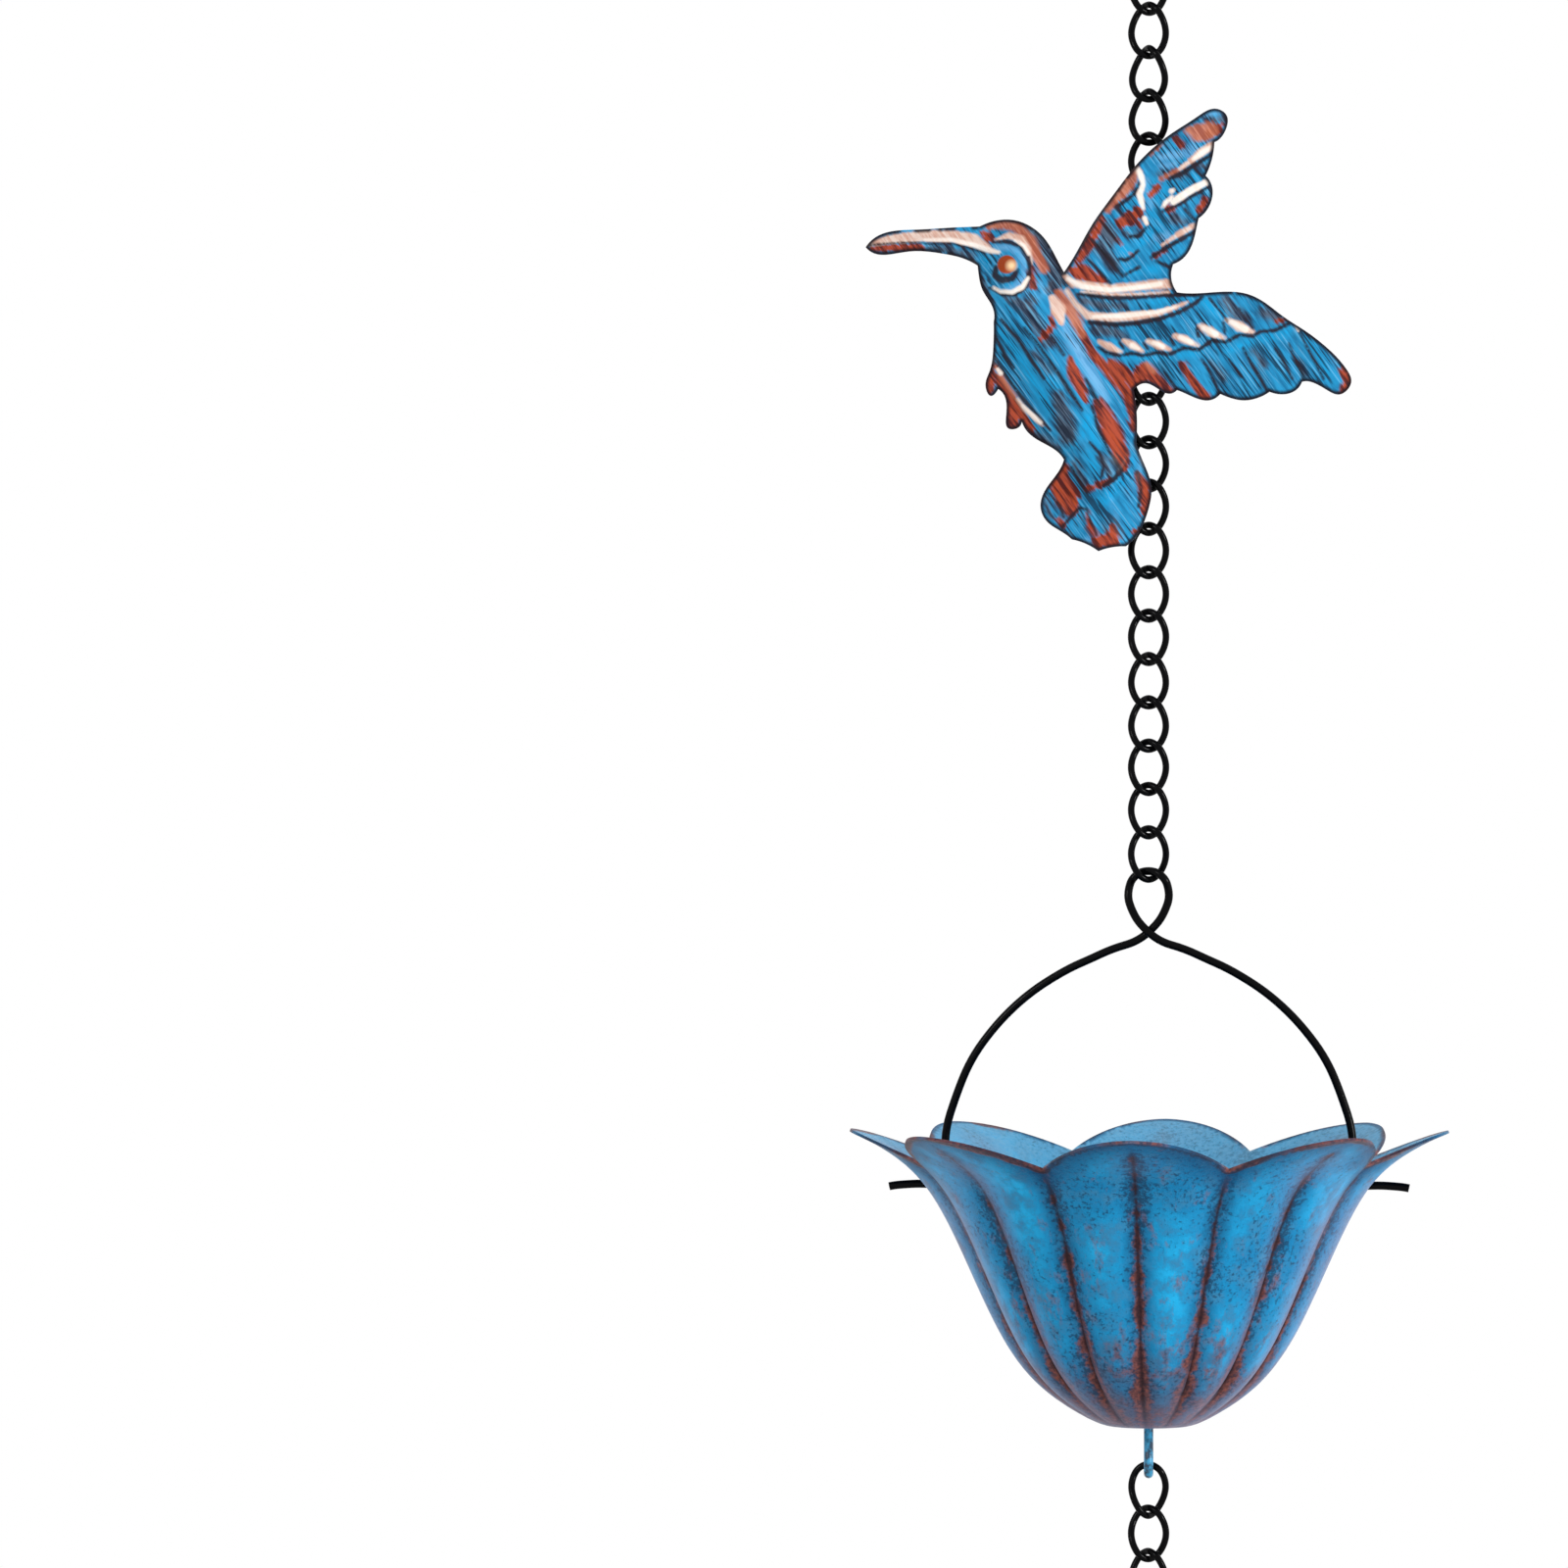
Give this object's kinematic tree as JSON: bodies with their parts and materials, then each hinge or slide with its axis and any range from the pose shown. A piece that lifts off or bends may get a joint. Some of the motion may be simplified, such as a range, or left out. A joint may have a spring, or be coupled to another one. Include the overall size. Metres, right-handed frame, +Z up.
{
  "type": "rain chain",
  "caption": "Hanging rain chain that leads water from a gutter through petal-rimmed cups, with stamped hummingbirds on its curb chain between them.",
  "frame": {"origin": "where the hanger bears inside the top link", "axes": "+Z up along the hanging chain, -Y towards the viewer who sees the birds from the front, +X to the viewer's right"},
  "size_m": [0.1528, 0.1528, 1.2415],
  "materials": {
    "black_enamel_wire": "gloss",
    "blue_patina_copper": "satin",
    "painted_copper_bird": "gloss"
  },
  "bodies": {
    "top_link": {"top_link": "black_enamel_wire"},
    "chain_above_bird_1": {"chain_above_bird_1": "black_enamel_wire"},
    "bird_1": {"chain_behind_bird_1": "black_enamel_wire", "hummingbird_1": "painted_copper_bird"},
    "chain_below_bird_1": {"chain_below_bird_1": "black_enamel_wire"},
    "bail_1": {"bail_1": "black_enamel_wire"},
    "cup_1": {"flower_cup_1": "blue_patina_copper", "cup_hook_1": "blue_patina_copper"},
    "chain_above_bird_2": {"chain_above_bird_2": "black_enamel_wire"},
    "bird_2": {"chain_behind_bird_2": "black_enamel_wire", "hummingbird_2": "painted_copper_bird"},
    "chain_below_bird_2": {"chain_below_bird_2": "black_enamel_wire"},
    "bail_2": {"bail_2": "black_enamel_wire"},
    "cup_2": {"flower_cup_2": "blue_patina_copper", "cup_hook_2": "blue_patina_copper"},
    "chain_above_bird_3": {"chain_above_bird_3": "black_enamel_wire"},
    "bird_3": {"chain_behind_bird_3": "black_enamel_wire", "hummingbird_3": "painted_copper_bird"},
    "chain_below_bird_3": {"chain_below_bird_3": "black_enamel_wire"},
    "bail_3": {"bail_3": "black_enamel_wire"},
    "cup_3": {"flower_cup_3": "blue_patina_copper", "cup_hook_3": "blue_patina_copper"},
    "chain_tail": {"chain_tail": "black_enamel_wire"}
  },
  "joints": [
    {"name": "links_above_bird_swing_1", "type": "hinge", "parent": "top_link", "child": "chain_above_bird_1", "pos_m": [0, 0, -0.01205], "axis": [0.5, 0.866, 0], "range_deg": [-98, 98]},
    {"name": "bird_swing_1", "type": "hinge", "parent": "chain_above_bird_1", "child": "bird_1", "pos_m": [0, 0, -0.05625], "axis": [-0.891, -0.454, 0], "range_deg": [-44, 38]},
    {"name": "links_below_bird_swing_1", "type": "hinge", "parent": "bird_1", "child": "chain_below_bird_1", "pos_m": [0, 0, -0.16675], "axis": [-0.7071, -0.7071, 0], "range_deg": [-75, 75]},
    {"name": "bail_swing_1", "type": "hinge", "parent": "chain_below_bird_1", "child": "bail_1", "pos_m": [0, 0, -0.24193], "axis": [-0.8788, 0.4772, 0], "range_deg": [-95, 95]},
    {"name": "cup_tilt_1", "type": "hinge", "parent": "bail_1", "child": "cup_1", "pos_m": [0, 0, -0.32193], "axis": [0.9983, -0.0576, 0], "range_deg": [-74, 74]},
    {"name": "links_above_bird_swing_2", "type": "hinge", "parent": "cup_1", "child": "chain_above_bird_2", "pos_m": [0, 0, -0.3955], "axis": [0, -1, 0], "range_deg": [-96, 105]},
    {"name": "bird_swing_2", "type": "hinge", "parent": "chain_above_bird_2", "child": "bird_2", "pos_m": [0, 0, -0.45043], "axis": [0.891, 0.454, 0], "range_deg": [-38, 44]},
    {"name": "links_below_bird_swing_2", "type": "hinge", "parent": "bird_2", "child": "chain_below_bird_2", "pos_m": [0, 0, -0.56093], "axis": [-0.7071, -0.7071, 0], "range_deg": [-75, 75]},
    {"name": "bail_swing_2", "type": "hinge", "parent": "chain_below_bird_2", "child": "bail_2", "pos_m": [0, 0, -0.6361], "axis": [0.8788, -0.4772, 0], "range_deg": [-95, 95]},
    {"name": "cup_tilt_2", "type": "hinge", "parent": "bail_2", "child": "cup_2", "pos_m": [0, 0, -0.7161], "axis": [-0.9983, 0.0576, 0], "range_deg": [-74, 74]},
    {"name": "links_above_bird_swing_3", "type": "hinge", "parent": "cup_2", "child": "chain_above_bird_3", "pos_m": [0, 0, -0.78968], "axis": [0, 1, 0], "range_deg": [-105, 96]},
    {"name": "bird_swing_3", "type": "hinge", "parent": "chain_above_bird_3", "child": "bird_3", "pos_m": [0, 0, -0.8446], "axis": [-0.891, -0.454, 0], "range_deg": [-44, 38]},
    {"name": "links_below_bird_swing_3", "type": "hinge", "parent": "bird_3", "child": "chain_below_bird_3", "pos_m": [0, 0, -0.9551], "axis": [-0.7071, -0.7071, 0], "range_deg": [-75, 75]},
    {"name": "bail_swing_3", "type": "hinge", "parent": "chain_below_bird_3", "child": "bail_3", "pos_m": [0, 0, -1.03028], "axis": [0.8788, -0.4772, 0], "range_deg": [-95, 95]},
    {"name": "cup_tilt_3", "type": "hinge", "parent": "bail_3", "child": "cup_3", "pos_m": [0, 0, -1.11027], "axis": [-0.9983, 0.0576, 0], "range_deg": [-74, 74]},
    {"name": "links_below_cup_swing", "type": "hinge", "parent": "cup_3", "child": "chain_tail", "pos_m": [0, 0, -1.18385], "axis": [0, -1, 0], "range_deg": [-114, 114]}
  ]
}
